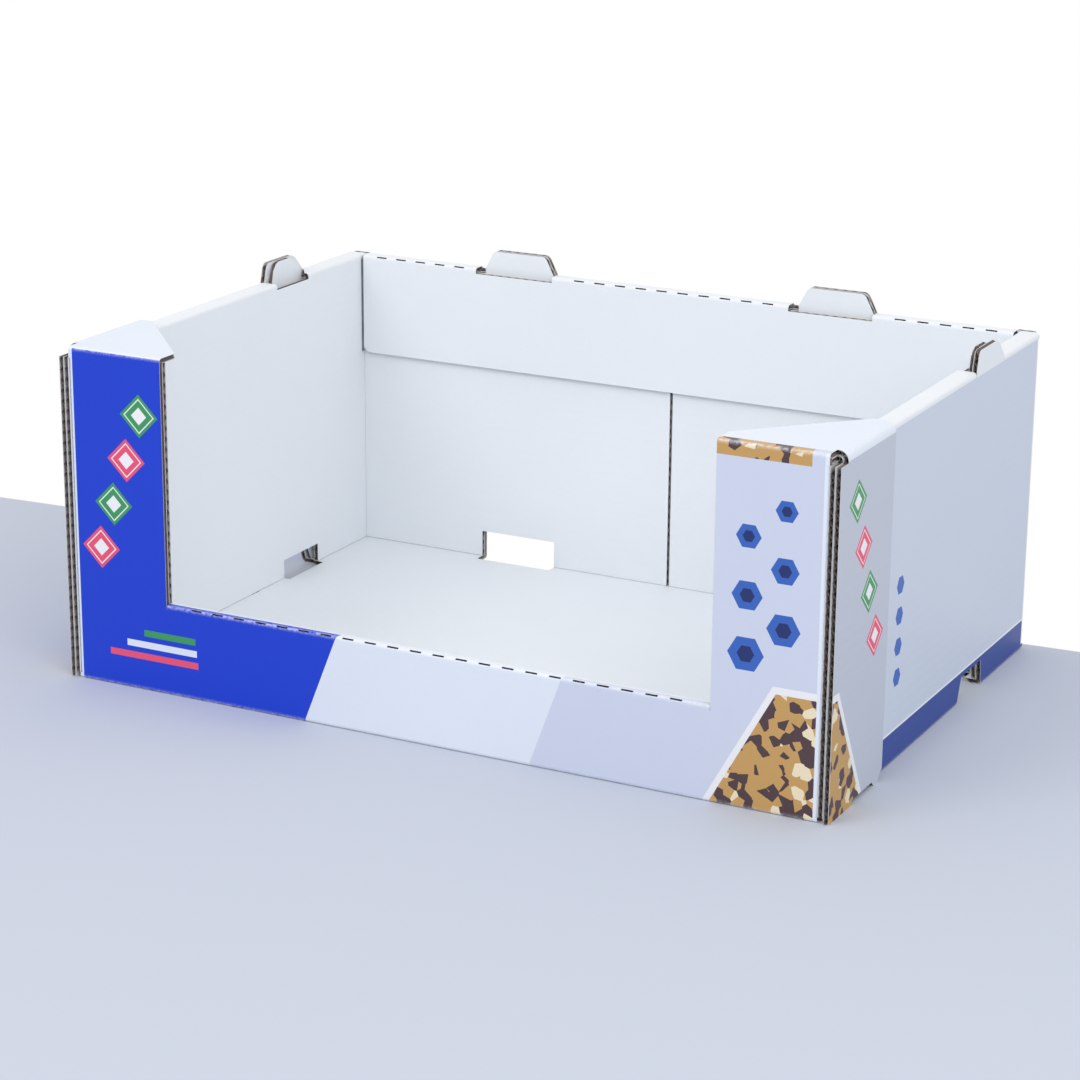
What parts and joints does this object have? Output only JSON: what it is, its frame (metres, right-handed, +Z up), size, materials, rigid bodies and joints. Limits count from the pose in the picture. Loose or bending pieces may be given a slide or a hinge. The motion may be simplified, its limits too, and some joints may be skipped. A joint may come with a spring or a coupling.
{
  "type": "counter display tray",
  "caption": "Open-fronted corrugated display tray with corner posts, low lip, folded caps and stacking tabs.",
  "frame": {"origin": "middle of the base, on the surface that the tray stands on", "axes": "+Z up, +X to the right of someone facing the open front, -Y out of the open front"},
  "size_m": [0.6, 0.4, 0.2605],
  "materials": {
    "board": "white-lined corrugated board, satin print coat, raw kraft flutes at the cut edges"
  },
  "bodies": {
    "root": {"display_tray": "board"}
  },
  "joints": []
}
